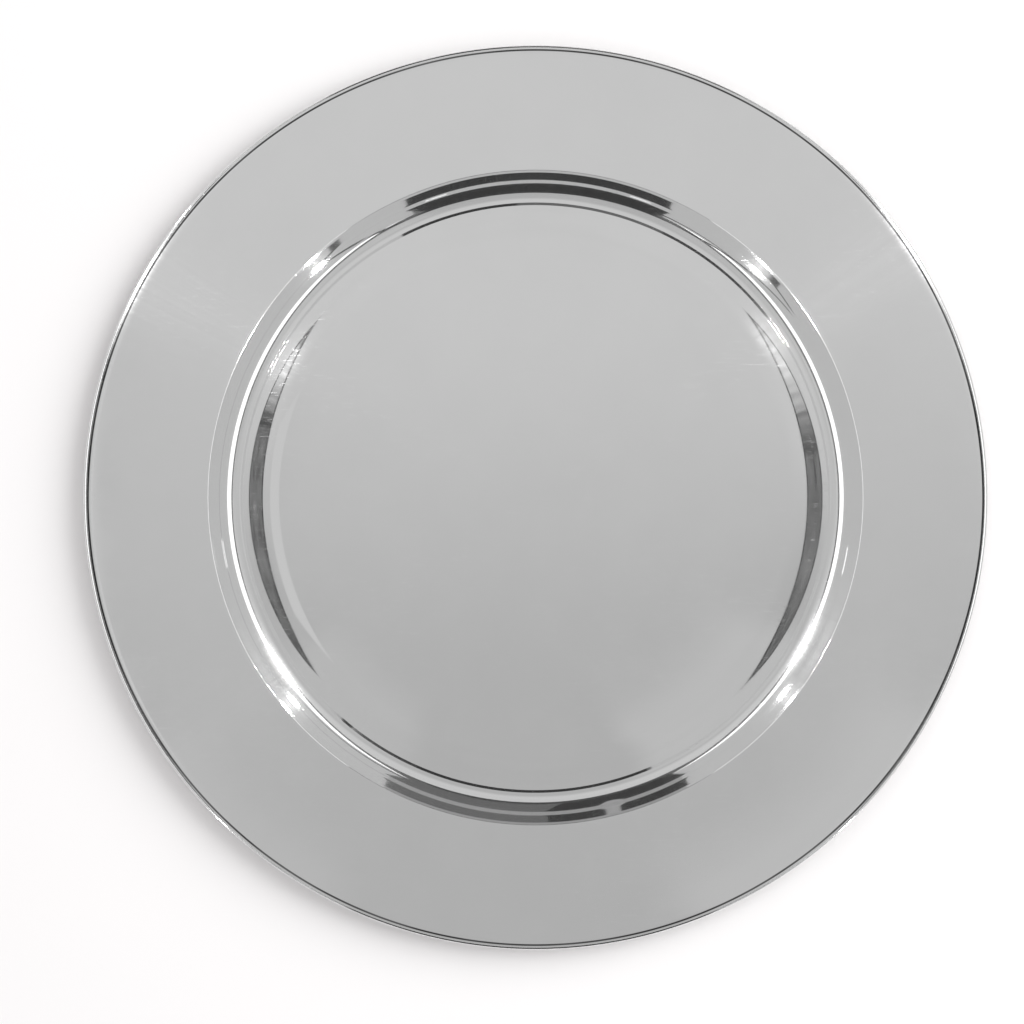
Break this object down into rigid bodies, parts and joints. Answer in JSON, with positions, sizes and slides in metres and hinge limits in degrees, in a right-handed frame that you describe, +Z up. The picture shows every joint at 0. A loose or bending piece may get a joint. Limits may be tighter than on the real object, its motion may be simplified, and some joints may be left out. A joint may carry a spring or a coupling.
{
  "type": "offering plate",
  "caption": "Round, shallow polished-metal offering plate with a wide flat rim, rolled edge, smooth wall and a slightly raised floor that collected money or envelopes lie on.",
  "frame": {"origin": "on the plate's axis, at the underside of the base felt, so the plate stands on z = 0", "axes": "+Z up along the plate's axis, out of the well; +X and +Y are any two perpendicular radii, since the plate is round"},
  "size_m": [0.305, 0.305, 0.0089],
  "materials": {
    "polished_sheet": "polished",
    "felt": "matte"
  },
  "bodies": {
    "root": {"plate_dish": "polished_sheet", "base_felt": "felt"}
  },
  "joints": []
}
